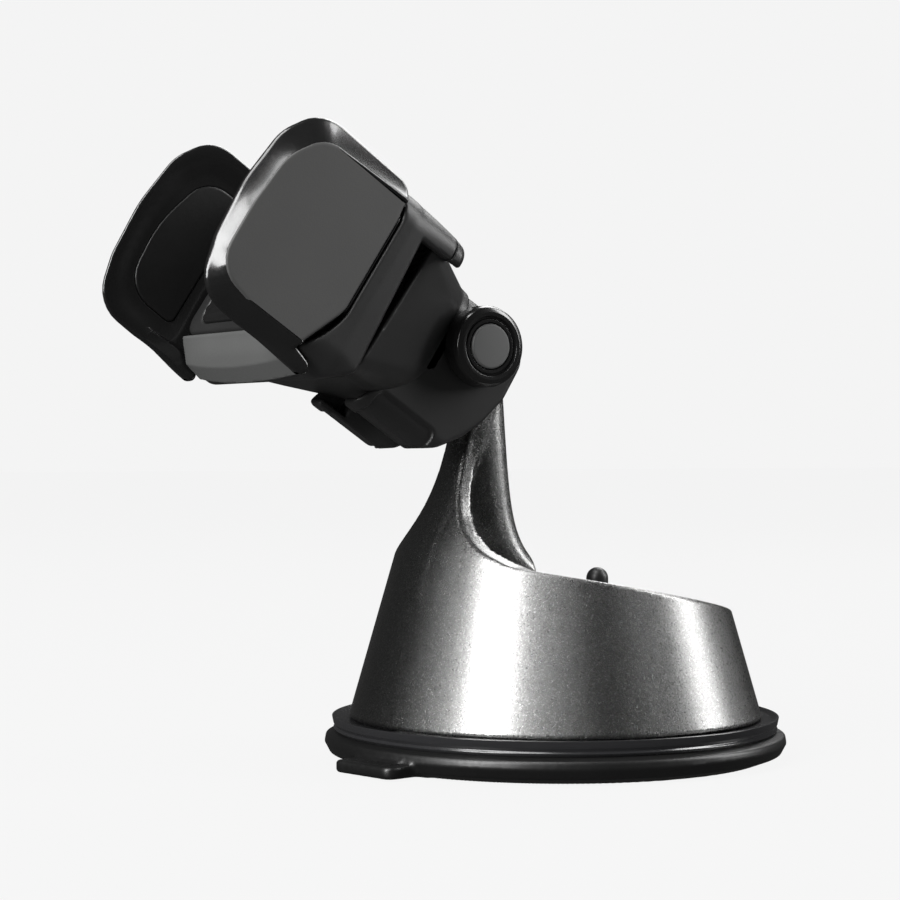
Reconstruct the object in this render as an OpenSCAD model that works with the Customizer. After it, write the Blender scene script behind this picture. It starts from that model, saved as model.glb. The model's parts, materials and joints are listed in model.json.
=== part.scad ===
// Dashboard phone mount: a suction base with a slanted neck, a tilting head and a spring clamp.
// Millimetres. The origin is the middle of the suction face, +Z is up and the phone faces -Y.
// Inside head(), -Y points out of the phone's back plate, +Z runs up the phone and +X is sideways.

/* [Base] */
// Outer radius of the suction cup
cup_r = 49.6; // [46:0.1:54]
// Radius of the glossy ring above the cup
ring_r = 48; // [46:0.1:49]
// Radius of the housing at its foot
foot_r = 44.2; // [42:0.1:45]
// Height of the foot above the dashboard
foot_z = 9.2; // [9:0.1:10]
// Inward slope of the housing wall, per millimetre of height
wall_slope = 0.285; // [0.25:0.005:0.3]
// Height of the slanted deck over the centre
deck_z = 36.9; // [35:0.1:38]
// Fall of the deck towards the rear, in degrees
deck_fall = 10.5; // [8:0.5:12]
// Wall thickness of the housing
wall = 2.4; // [2:0.1:3]

/* [Neck and tilt joint] */
// Distance of the tilt axis in front of the centre
tilt_y = 27.6; // [26:0.1:29]
// Height of the tilt axis
tilt_z = 86.7; // [84:0.1:90]
// Backward lean of the phone's back plate at rest, in degrees
lean = 33.5; // [28:0.5:38]
// Half thickness of the neck inside the slot of the knuckle
neck_half = 4.5; // [4:0.1:4.6]
// Radius of the rounded end of the neck
knuckle_r = 11.2; // [10:0.1:11.4]
// Radius of the tilt bolt
bolt_r = 3; // [2.5:0.1:3.5]

/* [Head] */
// Half width of the knuckle casing
cheek_half = 11.5; // [11:0.1:12]
// Half width of the cradle
cradle_half = 26.4; // [25:0.1:28]
// Top of the cradle above the tilt axis
head_top = 12; // [11:0.5:13]
// Bottom of the cradle below the tilt axis
head_low = 31; // [30:0.5:32]
// Distance of the back plate in front of the tilt axis
plate_p = 43.5; // [42:0.5:45]
// Distance of the arms' front edges in front of the tilt axis
arm_p = 67.4; // [62:0.2:70]
// Thickness of an arm
arm_t = 3.8; // [3:0.1:4.4]

/* [Hidden] */
$fn = 96;
gap = 0.3;
fit = 0.05;
eps = 0.01;
through = 40;
block = 160;
screw_r = 1.2;
screw_hole_r = 1.3;

cup_top = 5.4;
ring_top = 8.2;
core_r = 12.2;
core_z = 3.4;
plunger_r = 3.5;
pin_z = 32.4;
pin_r = 1.25;
lever_half = 6.4;
lever_len = 16;
bay_half = 8.2;
bay_front = -6;
bay_rear = 21;
bay_low = 20;
tray_wall = 1.6;
ear_gap = 3.4;
screw_ring_r = 36;

plate_half = cradle_half - arm_t - gap;
arm_root_p = 35.4;
band_p = 28.6;
housing_p = 26.2;
hood_rear_p = 21.4;
cap_rear_p = 18;
hood_low = 4.6;
casing_u = -8.8;
casing_low = -25.2;
eye_r = 12.2;
eye_front = 13.4;
web_p = 11.6;
mid_u = (head_top - head_low) / 2;
height_u = head_top + head_low;
rack_p = 39.2;
rack_t = 3.2;
pinion_pitch_r = 5;
pinion_teeth = 10;
rack_pitch = 2 * PI * pinion_pitch_r / pinion_teeth;
rack_web = 3.4;
rack_root = pinion_pitch_r + 1.1;
rack_tip = pinion_pitch_r - 0.75;
rack_mid = rack_root + rack_web / 2;
cradle_screw_x = 8;
casing_screw_u = [-9, 4];
pinion_pin_r = 1.5;
plate_h = 39;
plate_mid = head_top - 0.6 - plate_h / 2;
rack_tail = plate_half - 3.2;
pinion_u = mid_u;
spring_p = 33;
spring_r = 1.9;

// Radius of the housing wall at a height
function wall_r(z) = foot_r - wall_slope * (z - foot_z);

// Points along a rounded corner, from one angle to another
function corner(x, y, r, from, to, steps = 8) =
  [for (i = [0:steps]) let (a = from + (to - from) * i / steps) [x + r * cos(a), y + r * sin(a)]];
// Turns a point about the origin
function turned(p, a) = [p[0] * cos(a) - p[1] * sin(a), p[0] * sin(a) + p[1] * cos(a)];

// Places its children in the leaning head
module head() {
  translate([0, -tilt_y, tilt_z]) rotate([-lean, 0, 0]) children();
}

// Extrudes a side outline, drawn as forward and up distances, across the width
module across(width, x = 0) {
  translate([x, 0, 0]) rotate([90, 0, -90]) linear_extrude(height = width, center = true) children();
}

// Extrudes a front outline, drawn as sideways and up distances, from one depth to another
module deep(p0, p1) {
  translate([0, -p0, 0]) rotate([90, 0, 0]) linear_extrude(height = p1 - p0) children();
}

// Rectangle with rounded corners about its own centre
module rounded(w, h, r) {
  square([w - 2 * r, h], center = true);
  square([w, h - 2 * r], center = true);
  for (sx = [-1, 1], sy = [-1, 1])
    translate([sx * (w / 2 - r), sy * (h / 2 - r)]) circle(r);
}

// Everything under the slanted deck, lowered by a drop
module under_deck(drop = 0) {
  translate([0, 0, deck_z - drop]) rotate([-deck_fall, 0, 0])
    translate([-block / 2, -block / 2, -block]) cube(block);
}

// Helical spring standing on its lower end
module coil(r, wire, length, turns) {
  steps = 14;
  sides = 6;
  rings = steps * turns;
  points = [
    for (i = [0:rings], j = [0:sides - 1])
      let (a = 360 * i / steps, b = 360 * j / sides, q = r + wire * cos(b))
      [q * cos(a), q * sin(a), wire + (length - 2 * wire) * i / rings + wire * sin(b)]
  ];
  faces = concat(
    [[for (j = [0:sides - 1]) j]],
    [[for (j = [sides - 1:-1:0]) rings * sides + j]],
    [for (i = [0:rings - 1], j = [0:sides - 1])
      [i * sides + j, (i + 1) * sides + j, (i + 1) * sides + (j + 1) % sides, i * sides + (j + 1) % sides]]
  );
  polyhedron(points, faces, convexity = 6);
}

// ---- Suction base ----

// Soft cup: a thick rim, a hollow underside, a hole for the core and a pull tab at the front
module suction_cup() {
  tab_turn = -80;
  tab_half = 9;
  tab_r = 55;
  color([0.05, 0.05, 0.05]) {
    rotate_extrude($fn = 160) polygon([
      [core_r + gap, core_z], [30, 2.2], [40, 0], [45.2, 0], [48.4, 1.4], [cup_r, 3.4],
      [cup_r - 0.2, 4.6], [ring_r - 0.7, cup_top], [core_r + gap, cup_top]
    ]);
    rotate([0, 0, tab_turn]) difference() {
      translate([40, -tab_half, 0.4]) cube([tab_r - 40, 2 * tab_half, 2.6]);
      translate([0, 0, -1]) cylinder(r = 46, h = 6, $fn = 160);
    }
  }
}

// Middle of the cup, which the plunger pulls up to make the vacuum
module cup_core() {
  color([0.05, 0.05, 0.05]) translate([0, 0, core_z]) cylinder(r = core_r, h = cup_top - core_z);
}

// Pull rod with a foot in the core and a flat eye for the lever's pin
module plunger() {
  color([0.62, 0.63, 0.65]) difference() {
    union() {
      translate([0, 0, cup_top]) cylinder(r = 9, h = 2);
      translate([0, 0, cup_top]) cylinder(r = plunger_r, h = pin_z - cup_top);
      translate([0, 0, pin_z]) rotate([0, 90, 0]) cylinder(r = 3, h = 2 * (ear_gap - gap), center = true);
    }
    for (s = [-1, 1])
      translate([s * (ear_gap - gap + 5), 0, pin_z]) cube([10, 20, 12], center = true);
    translate([0, 0, pin_z]) rotate([0, 90, 0]) cylinder(r = pin_r, h = through, center = true);
  }
}

// Spring that pushes the plunger down when the lever opens
module plunger_spring() {
  color([0.7, 0.7, 0.72]) translate([0, 0, cup_top + 2.1]) coil(5.2, 0.5, 12, 6);
}

// Glossy ring plate between the cup and the housing, with a fine upturned lip
module base_ring() {
  color([0.12, 0.12, 0.13]) difference() {
    rotate_extrude($fn = 160) polygon([
      [core_r + 1, cup_top], [ring_r - 0.8, cup_top], [ring_r - 0.3, 6.3], [ring_r - 0.5, 6.6],
      [ring_r - 0.1, 7.4], [ring_r, 8.8], [ring_r - 0.5, 8.8], [ring_r - 1.6, ring_top],
      [core_r + 1, ring_top]
    ]);
    for (a = [45:90:315]) rotate([0, 0, a]) translate([screw_ring_r, 0, 0]) {
      cylinder(r = 1.6, h = 20);
      translate([0, 0, cup_top - eps]) cylinder(r = 2.9, h = 1.5);
    }
  }
}

// Outline of the neck seen from the side: a broad front blade with a rib behind it
module neck_side() {
  polygon([
    [33, 30], [31.6, 45], [30.2, 53.3], [27.6, 62], [26.4, 68], [30, 78], [tilt_y, 86], [16.5, 86],
    [13.9, 79], [13.1, 73.3], [12.5, 65], [11.8, 56.6], [10.8, 51.1], [9.1, 46.6], [6.8, 43.3],
    [3.6, 40.6], [-2, 38], [-2, 30]
  ]);
}

// Neck blade seen from the front: narrow at the top, flaring into the housing wall
module neck_front() {
  half = [[4.5, 74], [4.5, 64], [5.6, 59], [7.2, 56], [9.6, 53.3], [12.2, 49.4], [15, 46.6],
    [18.3, 44.3], [21, 43], [24, 41.6], [26, 38]];
  polygon(concat(half, [for (i = [len(half) - 1:-1:0]) [-half[i][0], half[i][1]]]));
}

// Housing cone and blade of one radius law, from the foot up through the neck
module outer_cone(shrink, top) {
  translate([0, 0, foot_z])
    cylinder(r1 = foot_r - shrink, r2 = wall_r(top) - shrink, h = top - foot_z, $fn = 160);
}

// Housing: a tapered drum under a slanted deck, running up into the neck and its knuckle
module base_housing() {
  color([0.3, 0.3, 0.31]) difference() {
    union() {
      intersection() {
        outer_cone(0, 60);
        under_deck();
      }
      translate([0, 0, ring_top]) cylinder(r = foot_r - 0.9, h = foot_z - ring_top, $fn = 160);
      intersection() {
        difference() {
          outer_cone(0, 76);
          outer_cone(4.2, 76);
        }
        rotate([90, 0, 0]) linear_extrude(height = 60) neck_front();
      }
      across(2 * neck_half) neck_side();
      translate([0, -tilt_y, tilt_z]) rotate([0, 90, 0])
        cylinder(r = knuckle_r, h = 2 * neck_half, center = true);
    }
    intersection() {
      translate([0, 0, ring_top - eps])
        cylinder(r1 = foot_r - wall - 1.2, r2 = wall_r(42) - wall, h = 42 - ring_top, $fn = 160);
      under_deck(2.6);
    }
    translate([-bay_half - tray_wall - fit, bay_front - tray_wall - fit, bay_low])
      cube([2 * (bay_half + tray_wall + fit), bay_rear - bay_front + 2 * (tray_wall + fit), through]);
    translate([0, -tilt_y, tilt_z]) rotate([0, 90, 0])
      cylinder(r = bolt_r + fit, h = through, center = true);
    for (a = [45:90:315]) rotate([0, 0, a]) translate([screw_ring_r, 0, ring_top - 1])
      cylinder(r = screw_r + fit, h = 7);
  }
  color([0.3, 0.3, 0.31]) for (a = [45:90:315]) rotate([0, 0, a])
    translate([screw_ring_r, 0, ring_top]) difference() {
      cylinder(r = 3.4, h = 8);
      translate([0, 0, -1]) cylinder(r = screw_r + fit, h = 7);
    }
}

// Tray let into the deck: it holds the lever and guides the plunger
module lever_tray() {
  color([0.1, 0.1, 0.1]) difference() {
    intersection() {
      translate([-bay_half - tray_wall, bay_front - tray_wall, bay_low])
        cube([2 * (bay_half + tray_wall), bay_rear - bay_front + 2 * tray_wall, through]);
      under_deck(0.5);
    }
    translate([-bay_half, bay_front, bay_low + 1.8]) cube([2 * bay_half, bay_rear - bay_front, through]);
    translate([0, 0, bay_low - eps]) cylinder(r = plunger_r + fit, h = 3);
  }
}

// Cam lever with two ears on the pin, a flat paddle and a thumb nub
module lock_lever() {
  color([0.13, 0.13, 0.13]) {
    difference() {
      union() {
        for (s = [-1, 1]) translate([s * (ear_gap + (lever_half - ear_gap) / 2), 0, 0]) {
          translate([0, 0, pin_z]) rotate([0, 90, 0])
            cylinder(r = 3.4, h = lever_half - ear_gap, center = true);
          translate([0, 3.4, pin_z]) cube([lever_half - ear_gap, 6.8, 3.4], center = true);
        }
        translate([-lever_half, 4.6, pin_z - 1.7]) cube([2 * lever_half, lever_len - 4.6, 3.4]);
        translate([0, 12.4, pin_z]) cylinder(r = 2.5, h = 5.4);
        translate([0, 12.4, pin_z + 5.4]) scale([1, 1, 0.9]) sphere(r = 2.5);
      }
      translate([0, 0, pin_z]) rotate([0, 90, 0]) cylinder(r = pin_r + fit, h = through, center = true);
    }
  }
}

// Pin that joins the plunger's eye to the lever's ears
module lever_pin() {
  color([0.75, 0.75, 0.77]) translate([0, 0, pin_z]) rotate([0, 90, 0])
    cylinder(r = pin_r, h = 2 * lever_half, center = true);
}

// Four screws that hold the ring plate to the housing
module base_screws() {
  color([0.7, 0.7, 0.72]) for (a = [45:90:315]) rotate([0, 0, a])
    translate([screw_ring_r, 0, cup_top + 0.1]) {
      cylinder(r = 2.7, h = 1.3);
      cylinder(r = screw_r, h = 8);
    }
}

// ---- Tilt joint ----

washer_t = 0.6;
knob_base = cheek_half + washer_t + 0.1;
knob_h = 4.9;
knob_r = 8.3;
cap_r = 4;

// Turns a Z-standing shape to point sideways at the tilt axis
module on_axis(side = 1) {
  head() rotate([0, side * 90, 0]) children();
}

// Bolt with a hexagonal end in the knob
module tilt_bolt() {
  color([0.72, 0.72, 0.74]) on_axis() {
    translate([0, 0, -cheek_half - 3]) cylinder(r = bolt_r, h = 2 * cheek_half + 4);
    translate([0, 0, cheek_half + 1]) cylinder(r = 4.6, h = 2.4, $fn = 6);
  }
}

// Round clamping knob on the right side, with a ring groove in its face
module tilt_knob() {
  color([0.07, 0.07, 0.07]) on_axis() difference() {
    rotate_extrude($fn = 120) polygon([
      [bolt_r + 0.2, knob_base], [knob_r, knob_base], [knob_r, knob_base + 0.8],
      [knob_r - 0.7, knob_base + 3.6], [knob_r - 1.5, knob_base + knob_h - 0.4],
      [knob_r - 2.3, knob_base + knob_h], [5.9, knob_base + knob_h], [5.7, knob_base + knob_h - 0.7],
      [5.4, knob_base + knob_h - 0.7], [5.2, knob_base + knob_h - 0.1],
      [cap_r + 0.25, knob_base + knob_h - 0.3], [cap_r + 0.25, knob_base + knob_h - 1.6],
      [bolt_r + 0.2, knob_base + knob_h - 1.6]
    ]);
    translate([0, 0, cheek_half]) cylinder(r = 4.65, h = 3.45, $fn = 6);
  }
}

// Flat grey disc that closes the knob
module knob_cap() {
  color([0.36, 0.37, 0.37]) on_axis() translate([0, 0, knob_base + knob_h - 1.55])
    cylinder(r = cap_r + 0.2, h = 1.3);
}

// Nut on the left side, sunk in its cover
module tilt_nut() {
  color([0.72, 0.72, 0.74]) on_axis(-1) difference() {
    translate([0, 0, knob_base]) cylinder(r = 5.2, h = 2.4, $fn = 6);
    translate([0, 0, cheek_half]) cylinder(r = bolt_r + fit, h = 8);
  }
}

// Round cover over the nut, the same shape as the knob
module nut_cover() {
  color([0.07, 0.07, 0.07]) on_axis(-1) difference() {
    rotate_extrude($fn = 120) polygon([
      [bolt_r + 0.3, knob_base], [knob_r, knob_base], [knob_r, knob_base + 0.8],
      [knob_r - 0.7, knob_base + 3.6], [knob_r - 1.5, knob_base + knob_h - 0.4],
      [knob_r - 2.3, knob_base + knob_h], [5.9, knob_base + knob_h], [5.7, knob_base + knob_h - 0.7],
      [5.4, knob_base + knob_h - 0.7], [5.2, knob_base + knob_h - 0.1],
      [cap_r + 0.25, knob_base + knob_h - 0.3], [cap_r + 0.25, knob_base + knob_h - 1.6],
      [bolt_r + 0.3, knob_base + knob_h - 1.6]
    ]);
    translate([0, 0, cheek_half]) cylinder(r = 5.25, h = 3.2, $fn = 6);
  }
}

// Flat grey disc that closes the nut cover
module nut_cap() {
  color([0.36, 0.37, 0.37]) on_axis(-1) translate([0, 0, knob_base + knob_h - 1.55])
    cylinder(r = cap_r + 0.2, h = 1.3);
}

// Thin washers between the cheeks and the two round covers
module friction_washers() {
  color([0.55, 0.5, 0.4]) for (side = [-1, 1]) on_axis(side) difference() {
    translate([0, 0, cheek_half]) cylinder(r = 7.4, h = washer_t);
    translate([0, 0, cheek_half - 1]) cylinder(r = bolt_r + fit, h = 3);
  }
}

// ---- Head casing ----

// Side outline of the knuckle casing: a round eye with a deep chin in front of it
module casing_side() {
  polygon(concat(
    [
      [eye_front, 10.4], [eye_front, -8], [11.8, -18], [14.7, -21.2], [17.2, casing_low],
      [1, casing_low], [-2.6, -23.1], [-7.5, -18.2], [-9.7, -14.4], [-11.9, -8.7]
    ],
    corner(0, 0, eye_r, 200, 84, 16)
  ));
}

// Front outline of the knuckle casing, rounder above than below
module casing_front() {
  top = 7;
  low = 6;
  polygon(concat(
    corner(-cheek_half + low, casing_low + low, low, 180, 270),
    corner(cheek_half - low, casing_low + low, low, 270, 360),
    corner(cheek_half - top, eye_r - top, top, 0, 90),
    corner(-cheek_half + top, eye_r - top, top, 90, 180)
  ));
}

// Slotted casing that straddles the neck; the slot lets the neck swing through its chin
module knuckle_casing() {
  color([0.16, 0.16, 0.16]) head() difference() {
    intersection() {
      across(2 * cheek_half) casing_side();
      deep(-20, 20) casing_front();
    }
    across(2 * (neck_half + 0.5)) polygon([
      [web_p, 16], [web_p, -13], [13, -19], [22, -22], [22, -30], [-30, -30], [-30, 16]
    ]);
    deep(9.4, 20) translate([0, -20.6]) square([2 * (cheek_half - 2.4), 5.2], center = true);
    rotate([0, 90, 0]) cylinder(r = bolt_r + fit, h = through, center = true);
    for (u = casing_screw_u) deep(web_p - 1, 20) translate([0, u]) circle(screw_hole_r);
  }
}

// Tapered housing between the knuckle casing and the cradle
module rear_housing() {
  color([0.17, 0.17, 0.17]) head() difference() {
    hull() {
      deep(housing_p - 1, housing_p) translate([0, casing_u]) rounded(42, 32.4, 7, $fn = 32);
      deep(eye_front, eye_front + 0.6) translate([0, -2.2]) rounded(26, 25, 8, $fn = 32);
    }
    hull() {
      deep(housing_p - 1.2, housing_p + 1) translate([0, casing_u]) rounded(37, 27.4, 5, $fn = 24);
      deep(eye_front + 2.4, eye_front + 2.6) translate([0, -2.2]) rounded(19, 18, 5, $fn = 24);
    }
    for (u = casing_screw_u) deep(10, 20) translate([0, u]) circle(screw_hole_r);
  }
}

// Screws from the knuckle casing into the rear housing
module casing_screws() {
  color([0.7, 0.7, 0.72]) head() for (u = casing_screw_u) translate([0, 0, u]) {
    deep(web_p + 0.2, eye_front + 2.4) circle(screw_r);
    deep(eye_front + 2.4, eye_front + 3.6) circle(2.2);
  }
}

// ---- Cradle ----

// Front view of the cradle, rounded at its corners
module cradle_front(inset, r) {
  translate([0, mid_u]) rounded(2 * (cradle_half - inset), height_u - 2 * inset, r - inset);
}

// Part of the head above the level where the hood's sides end
module above_hood_edge() {
  translate([-40, -80, hood_low]) cube([80, 80, 20]);
}

// Shell behind the arms with a hood that laps over the rear housing
module cradle_shell() {
  color([0.15, 0.15, 0.15]) head() {
    difference() {
      union() {
        deep(band_p, arm_root_p - gap) cradle_front(0, 9);
        intersection() {
          deep(hood_rear_p, band_p + 1) cradle_front(0.6, 9);
          above_hood_edge();
        }
      }
      deep(band_p + 2, arm_root_p + 1) cradle_front(2.2, 9);
      deep(hood_rear_p - 1, band_p) hood_hollow();
      cradle_screw_holes();
    }
    difference() {
      deep(housing_p - 2, band_p) translate([0, casing_u]) rounded(26, 18, 4);
      cradle_screw_holes();
    }
    for (s = [-1, 1]) translate([s * 18, 0, pinion_u + s * rack_mid])
      deep(band_p + 2, spring_p + 2) square([1.6, 5], center = true);
  }
}

// Holes for the screws that hold the cradle shell
module cradle_screw_holes() {
  for (s = [-1, 1]) deep(housing_p - 3, band_p + 3)
    translate([s * cradle_screw_x, casing_u]) circle(screw_hole_r);
}

// Space under the hood that the rear housing stands in
module hood_hollow() {
  translate([0, casing_u]) rounded(44.4, 37, 8);
}

// Cap that closes the rear end of the hood
module hood_cap() {
  color([0.2, 0.2, 0.2]) head() difference() {
    intersection() {
      deep(cap_rear_p, hood_rear_p - 0.1) cradle_front(0.9, 9);
      above_hood_edge();
    }
    deep(cap_rear_p - 1, hood_rear_p) hood_hollow();
  }
}

// Box between the arms whose front face the phone's back rests on
module back_plate() {
  color([0.1, 0.1, 0.1]) head() difference() {
    deep(arm_root_p - gap, plate_p) translate([0, plate_mid]) rounded(2 * plate_half, plate_h, 5);
    deep(arm_root_p - 1, plate_p - 2)
      translate([0, plate_mid]) rounded(2 * (plate_half - 2), plate_h - 4, 3.5);
    for (s = [-1, 1]) deep(rack_p - rack_t / 2 - gap, rack_p + rack_t / 2 + gap)
      translate([s * plate_half, pinion_u + s * (rack_root + rack_web + rack_tip) / 2])
        square([8, rack_root + rack_web - rack_tip + 2 * gap], center = true);
    deep(plate_p - 0.8, plate_p + 1) translate([0, plate_mid]) rounded(36, 30, 4);
  }
}

// Soft pad let into the front face of the back plate
module plate_pad() {
  color([0.08, 0.08, 0.08]) head()
    deep(plate_p - 0.8, plate_p + 0.3) translate([0, plate_mid]) rounded(35.8, 29.8, 3.9);
}

// Grey strip under the back plate
module chin_trim() {
  color([0.42, 0.43, 0.43]) head() across(2 * plate_half - 1) polygon([
    [arm_root_p - gap, plate_mid - plate_h / 2], [plate_p, plate_mid - plate_h / 2],
    [plate_p, plate_mid - plate_h / 2 - 1], [arm_root_p + 1.4, -head_low + 0.2],
    [arm_root_p - gap, -head_low + 0.2]
  ]);
}

// Screws that hold the cradle shell to the rear housing
module cradle_screws() {
  color([0.7, 0.7, 0.72]) head() for (s = [-1, 1]) translate([s * cradle_screw_x, 0, casing_u]) {
    deep(housing_p - 2, band_p + 2) circle(screw_r);
    deep(band_p + 2, band_p + 3.4) circle(2.4);
  }
}

// ---- Arms and their rack drive ----

// Pinion with straight-sided teeth
module pinion() {
  tooth = [[0.95, 3.8], [0.62, pinion_pitch_r], [0.3, 5.75], [-0.3, 5.75], [-0.62, pinion_pitch_r],
    [-0.95, 3.8]];
  color([0.8, 0.8, 0.78]) head() difference() {
    deep(rack_p - 1.8, rack_p + 1.8) translate([0, pinion_u])
      polygon([for (i = [0:pinion_teeth - 1]) for (p = tooth) turned(p, 360 * i / pinion_teeth)]);
    deep(rack_p - 3, rack_p + 3) translate([0, pinion_u]) circle(pinion_pin_r + fit);
  }
}

// Fixed pin that the pinion turns on
module pinion_pin() {
  color([0.75, 0.75, 0.77]) head()
    deep(band_p + 2, plate_p - 2) translate([0, pinion_u]) circle(pinion_pin_r);
}

// Spring behind each rack, between the rack's tail and a rib of the shell
module arm_springs() {
  color([0.7, 0.7, 0.72]) head() for (s = [-1, 1])
    translate([-s * (rack_tail - 2.1), -spring_p, pinion_u + s * rack_mid]) rotate([0, s * 90, 0])
      coil(spring_r, 0.3, rack_tail - 2.1 + 17.1, 11);
}

// Arm outline seen from the side, with large corners at the front
module arm_side(inset = 0, rear = 0) {
  p0 = arm_root_p + rear;
  p1 = arm_p - inset;
  u0 = -head_low + inset;
  u1 = head_top - inset;
  top = 12 - inset;
  low = 10 - inset;
  back = 3;
  polygon([
    [p0 + back, u0], [p1 - low, u0], [p1, u0 + low], [p1, u1 - top], [p1 - top, u1],
    [p0 + back, u1], [p0, u1 - back], [p0, u0 + back]
  ]);
  translate([p1 - low, u0 + low]) circle(low);
  translate([p1 - top, u1 - top]) circle(top);
  translate([p0 + back, u0 + back]) circle(back);
  translate([p0 + back, u1 - back]) circle(back);
}

// One arm: a plate beside the phone with a bevelled rim and shallow pockets on both faces
module arm(s) {
  outer = cradle_half - arm_t / 2;
  color([0.12, 0.12, 0.12]) head() difference() {
    union() {
      across(arm_t - 1.2, s * (outer - 0.6)) arm_side();
      across(arm_t, s * outer) arm_side(1.2, 0);
    }
    across(1.6, s * cradle_half) panel_side();
    across(1.2, s * (cradle_half - arm_t)) pad_side();
  }
}

// Outline of the matte panel on an arm's outer face
module panel_side(inset = 0) {
  p0 = arm_root_p + 0.8 + inset;
  p1 = arm_p - 4.8 - inset;
  u0 = -head_low + 3.2 + inset;
  u1 = head_top - 3.8 - inset;
  top = 9;
  low = 7;
  polygon([[p0, u0], [p1 - low, u0], [p1, u0 + low], [p1, u1 - top], [p1 - top, u1], [p0, u1]]);
  translate([p1 - low, u0 + low]) circle(low);
  translate([p1 - top, u1 - top]) circle(top);
}

module panel(s) {
  color([0.25, 0.25, 0.25]) head() across(0.8, s * (cradle_half - 0.4)) panel_side(0.1);
}

// Outline of the grip pad on an arm's inner face
module pad_side(inset = 0) {
  p0 = plate_p + 1.2 + inset;
  p1 = arm_p - 3.4 - inset;
  u0 = -head_low + 4 + inset;
  u1 = head_top - 4 - inset;
  r = 7;
  polygon([[p0, u0], [p1 - r, u0], [p1, u0 + r], [p1, u1 - r], [p1 - r, u1], [p0, u1]]);
  translate([p1 - r, u0 + r]) circle(r);
  translate([p1 - r, u1 - r]) circle(r);
}

module pad(s) {
  color([0.07, 0.07, 0.07]) head() across(0.6, s * (cradle_half - arm_t + 0.3)) pad_side(0.1);
}

// Toothed bar that runs from one arm across to the far side of the pinion
module rack(s) {
  color([0.16, 0.16, 0.17]) head() {
    deep(rack_p - rack_t / 2, rack_p + rack_t / 2) translate([0, pinion_u])
      scale([s, s]) {
        translate([-rack_tail, rack_root]) square([rack_tail + plate_half + gap, rack_web]);
        for (i = [-6:5]) translate([(i + 0.5) * rack_pitch, 0])
          polygon([[-0.95, rack_root + 0.1], [-0.6, pinion_pitch_r], [-0.3, rack_tip], [0.3, rack_tip],
            [0.6, pinion_pitch_r], [0.95, rack_root + 0.1]]);
      }
    deep(spring_p - 2, rack_p) translate([-s * (rack_tail - 1), pinion_u + s * rack_mid])
      square([2, rack_web], center = true);
  }
}

module arm_right() arm(1);
module arm_left() arm(-1);
module rack_right() rack(1);
module rack_left() rack(-1);
module panel_right() panel(1);
module panel_left() panel(-1);
module pad_right() pad(1);
module pad_left() pad(-1);

suction_cup();
cup_core();
plunger();
plunger_spring();
base_ring();
base_housing();
lever_tray();
lock_lever();
lever_pin();
base_screws();
tilt_bolt();
tilt_knob();
knob_cap();
tilt_nut();
nut_cover();
nut_cap();
friction_washers();
knuckle_casing();
rear_housing();
casing_screws();
cradle_shell();
hood_cap();
back_plate();
plate_pad();
chin_trim();
cradle_screws();
pinion();
pinion_pin();
arm_springs();
arm_right();
arm_left();
rack_right();
rack_left();
panel_right();
panel_left();
pad_right();
pad_left();
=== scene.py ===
"""Looks of the dashboard phone mount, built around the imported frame. Shapes are worked out in millimetres."""

import json
import math

import bpy
import numpy as np
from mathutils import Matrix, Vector


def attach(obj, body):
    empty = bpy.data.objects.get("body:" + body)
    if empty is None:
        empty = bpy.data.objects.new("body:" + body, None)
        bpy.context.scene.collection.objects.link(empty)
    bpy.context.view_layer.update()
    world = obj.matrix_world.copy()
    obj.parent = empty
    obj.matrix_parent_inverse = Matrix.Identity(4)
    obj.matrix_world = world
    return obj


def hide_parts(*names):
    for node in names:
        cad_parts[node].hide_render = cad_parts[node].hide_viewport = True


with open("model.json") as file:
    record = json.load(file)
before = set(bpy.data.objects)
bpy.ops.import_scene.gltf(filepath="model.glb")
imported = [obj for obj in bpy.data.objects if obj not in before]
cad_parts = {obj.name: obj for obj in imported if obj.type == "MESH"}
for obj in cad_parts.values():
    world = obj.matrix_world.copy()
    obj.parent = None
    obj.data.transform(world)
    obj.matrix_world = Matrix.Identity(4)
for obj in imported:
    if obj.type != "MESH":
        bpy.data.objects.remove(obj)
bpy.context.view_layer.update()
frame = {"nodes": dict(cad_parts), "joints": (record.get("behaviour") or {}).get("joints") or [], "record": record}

MM = 0.001
joints = {j["name"]: j for j in frame["joints"]}
tilt_centre = np.array(joints["head_tilt"]["pos_m"]) / MM
FORWARD = np.array(joints["pinion_turn"]["axis"])
UP = np.array([0.0, FORWARD[2], -FORWARD[1]])


# ---- Distance fields: negative inside, in millimetres ----

def cut(a, b, r=0.0):
    """Where both fields are inside, with the edge between them rounded to radius r."""
    if r <= 0:
        return np.maximum(a, b)
    return np.minimum(-r, np.maximum(a, b)) + np.hypot(np.maximum(a + r, 0), np.maximum(b + r, 0))


def join(a, b, r=0.0):
    """Where either field is inside, with the corner between them filled to radius r."""
    if r <= 0:
        return np.minimum(a, b)
    return np.maximum(r, np.minimum(a, b)) - np.hypot(np.maximum(r - a, 0), np.maximum(r - b, 0))


def smooth_step(a, low, high):
    """0 below low, 1 above high and smooth between."""
    t = np.clip((a - low) / (high - low), 0, 1)
    return t * t * (3 - 2 * t)


def slab(a, low, high):
    """Distance to the band between two values."""
    return np.maximum(low - a, a - high)


def block(a, b, half_a, half_b, r):
    """Rectangle about the origin with rounded corners. The half sizes may vary from point to point."""
    qa = np.abs(a) - half_a + r
    qb = np.abs(b) - half_b + r
    return np.minimum(np.maximum(qa, qb), 0) + np.hypot(np.maximum(qa, 0), np.maximum(qb, 0)) - r


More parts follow.
